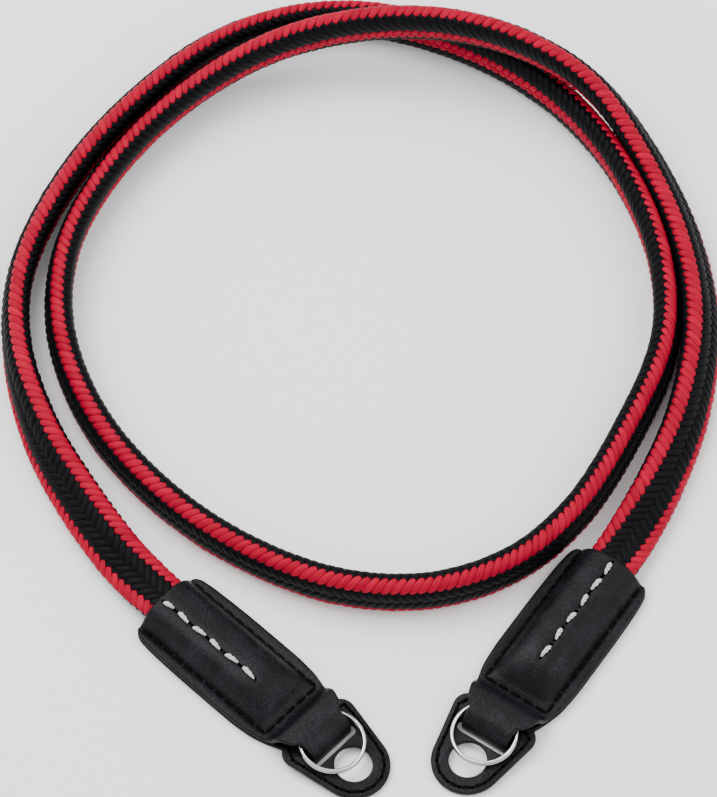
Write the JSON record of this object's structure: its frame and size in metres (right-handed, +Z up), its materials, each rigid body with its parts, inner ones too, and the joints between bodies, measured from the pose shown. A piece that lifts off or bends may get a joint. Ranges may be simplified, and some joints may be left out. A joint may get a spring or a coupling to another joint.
{
  "type": "camera strap",
  "caption": "Braided camera strap in a loose coil, with a leather tab, leather guard and split ring at each end.",
  "frame": {"origin": "on the surface that the strap lies on, centred under the tabs, guards and rings", "axes": "+Z up; +Y from the leather ends towards the far side of the coil; +X towards the right-hand tab"},
  "size_m": [0.1731, 0.2163, 0.0266],
  "materials": {
    "cord_braid": "satin",
    "tab_leather": "satin",
    "guard_leather": "matte",
    "ring_steel": "polished"
  },
  "bodies": {
    "root": {"cord": "cord_braid", "left_tab": "tab_leather", "right_tab": "tab_leather", "left_guard": "guard_leather", "right_guard": "guard_leather", "left_ring": "ring_steel", "right_ring": "ring_steel"}
  },
  "joints": []
}
